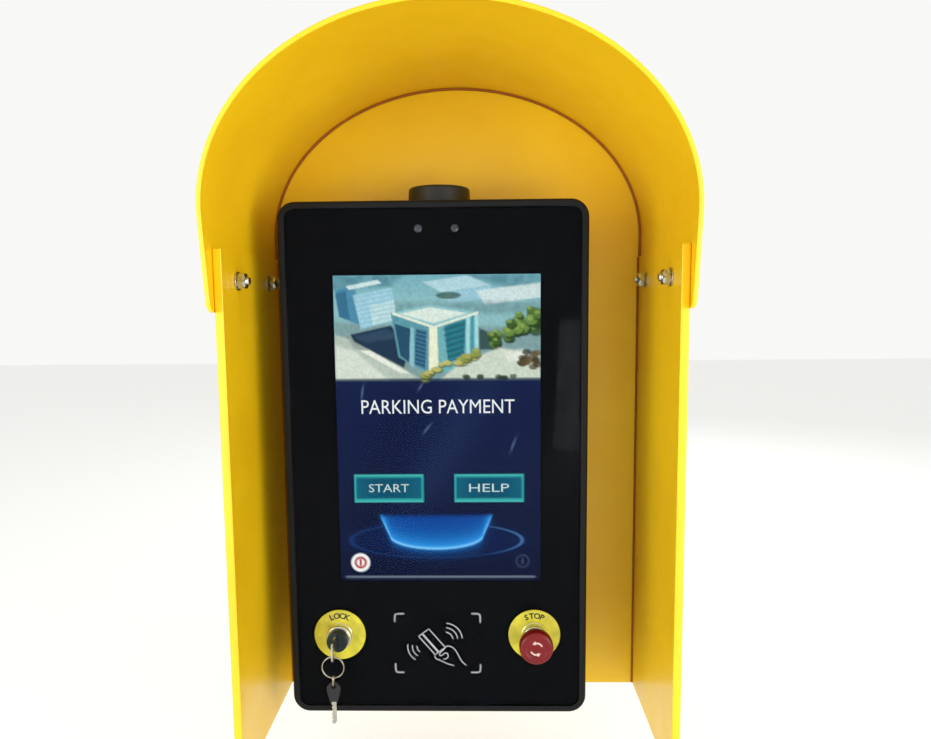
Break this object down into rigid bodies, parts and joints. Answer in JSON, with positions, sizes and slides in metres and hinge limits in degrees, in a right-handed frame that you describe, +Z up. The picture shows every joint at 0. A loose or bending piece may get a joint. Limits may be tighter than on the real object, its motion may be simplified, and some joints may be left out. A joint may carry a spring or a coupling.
{
  "type": "parking pay station",
  "caption": "Outdoor parking pay terminal with a portrait touch display, card zone, key switch and emergency stop, in an open-fronted yellow sheet-steel hood for wall mounting",
  "frame": {"origin": "centre of the wall bolt pattern, on the rear face of the back plate", "axes": "+X to the user's right, +Y back into the wall, +Z up"},
  "size_m": [0.482, 0.2796, 0.779],
  "materials": {
    "yellow_sheet": "semi-gloss powder coat",
    "zinc_fastener": "bright zinc plate",
    "zinc_bracket": "galvanised sheet",
    "black_rubber": "matt rubber",
    "black_housing": "fine-texture black powder coat",
    "black_frame": "satin black anodised",
    "black_print": "black ceramic print",
    "clear_glass": "toughened, polished edge",
    "display": "lit display panel",
    "brass_standoff": "machined",
    "circuit_board": "solder mask",
    "bare_aluminium": "satin",
    "black_moulding": "fine-grain moulding",
    "lens_glass": "coated lens",
    "yellow_legend": "printed satin",
    "plated_collar": "satin plated",
    "dark_rotor": "black plated zinc",
    "nickel_key": "nickel plated",
    "red_button": "glossy moulding",
    "spring_steel": "drawn wire"
  },
  "bodies": {
    "terminal": {"back_plate": "yellow_sheet", "side_wall_left": "yellow_sheet", "side_wall_right": "yellow_sheet", "hood": "yellow_sheet", "hood_bolts": "zinc_fastener", "hood_washers": "zinc_fastener", "hood_nuts": "zinc_fastener", "cable_grommet": "black_rubber", "bracket_studs": "zinc_fastener", "terminal_bracket": "zinc_bracket", "bracket_nuts": "zinc_fastener", "bracket_screws": "zinc_fastener", "rear_housing": "black_housing", "housing_screws": "zinc_fastener", "front_frame": "black_frame", "glass_gasket": "black_rubber", "mask_print": "black_print", "cover_glass": "clear_glass", "lcd_module": "display", "chassis_plate": "zinc_bracket", "chassis_screws": "zinc_fastener", "board_standoffs": "brass_standoff", "main_board": "circuit_board", "heat_sink": "bare_aluminium", "board_screws": "zinc_fastener", "power_supply": "bare_aluminium", "terminal_block": "black_moulding", "card_reader": "black_moulding", "camera_module": "black_moulding", "camera_lenses": "lens_glass", "camera_screws": "zinc_fastener", "speaker": "black_moulding", "antenna_puck": "black_moulding", "antenna_nut": "zinc_fastener", "cable_gland": "black_moulding", "gland_nut": "black_moulding", "key_plate": "yellow_legend", "key_switch_body": "plated_collar", "key_switch_nut": "black_moulding", "key_contact_block": "black_moulding", "estop_plate": "yellow_legend", "estop_body": "plated_collar", "estop_nut": "black_moulding", "estop_contact_block": "black_moulding", "estop_spring": "spring_steel"},
    "key_barrel": {"key_barrel": "dark_rotor"},
    "key": {"key": "nickel_key"},
    "key_ring": {"key_ring": "nickel_key"},
    "key_link": {"key_link": "nickel_key"},
    "spare_key": {"spare_key": "nickel_key", "spare_key_head": "black_moulding"},
    "key_plunger": {"key_contact_plunger": "black_moulding"},
    "estop_plunger": {"estop_stem": "black_moulding"},
    "estop_head": {"estop_button": "red_button"},
    "estop_contact_pin": {"estop_contact_plunger": "black_moulding"}
  },
  "joints": [
    {"name": "key_turn", "type": "hinge", "parent": "terminal", "child": "key_barrel", "pos_m": [-0.138, -0.143, -0.201], "axis": [0, 1, 0], "range_deg": [0, 90]},
    {"name": "key_pull", "type": "slide", "parent": "key_barrel", "child": "key", "axis": [0, -1, 0], "range_m": [0, 0.026]},
    {"name": "ring_swing", "type": "hinge", "parent": "key", "child": "key_ring", "pos_m": [-0.138, -0.1655, -0.205], "axis": [1, 0, 0], "range_deg": [-40, 30]},
    {"name": "link_swing", "type": "hinge", "parent": "key_ring", "child": "key_link", "pos_m": [-0.138, -0.1655, -0.2303], "axis": [1, 0, 0], "range_deg": [-40, 40]},
    {"name": "spare_key_swing", "type": "hinge", "parent": "key_link", "child": "spare_key", "pos_m": [-0.138, -0.1655, -0.2394], "axis": [0, 1, 0], "range_deg": [-30, 30]},
    {"name": "key_plunger_slide", "type": "slide", "parent": "terminal", "child": "key_plunger", "axis": [0, 1, 0], "range_m": [0, 0.0031]},
    {"name": "estop_push", "type": "slide", "parent": "terminal", "child": "estop_plunger", "axis": [0, 1, 0], "range_m": [0, 0.005], "stiffness_N_per_m": 1200, "springref_m": -0.004, "deforming": ["estop_spring"]},
    {"name": "estop_twist", "type": "hinge", "parent": "estop_plunger", "child": "estop_head", "pos_m": [0.089, -0.158, -0.201], "axis": [0, 1, 0], "range_deg": [0, 45], "stiffness_Nm_per_rad": 0.05},
    {"name": "estop_contact_slide", "type": "slide", "parent": "terminal", "child": "estop_contact_pin", "axis": [0, 1, 0], "range_m": [0, 0.0051]}
  ],
  "couplings": [
    {"joint": "key_plunger_slide", "follows": "key_turn", "m_per_rad": 0.0019099},
    {"joint": "estop_contact_slide", "follows": "estop_push", "ratio": 1}
  ]
}
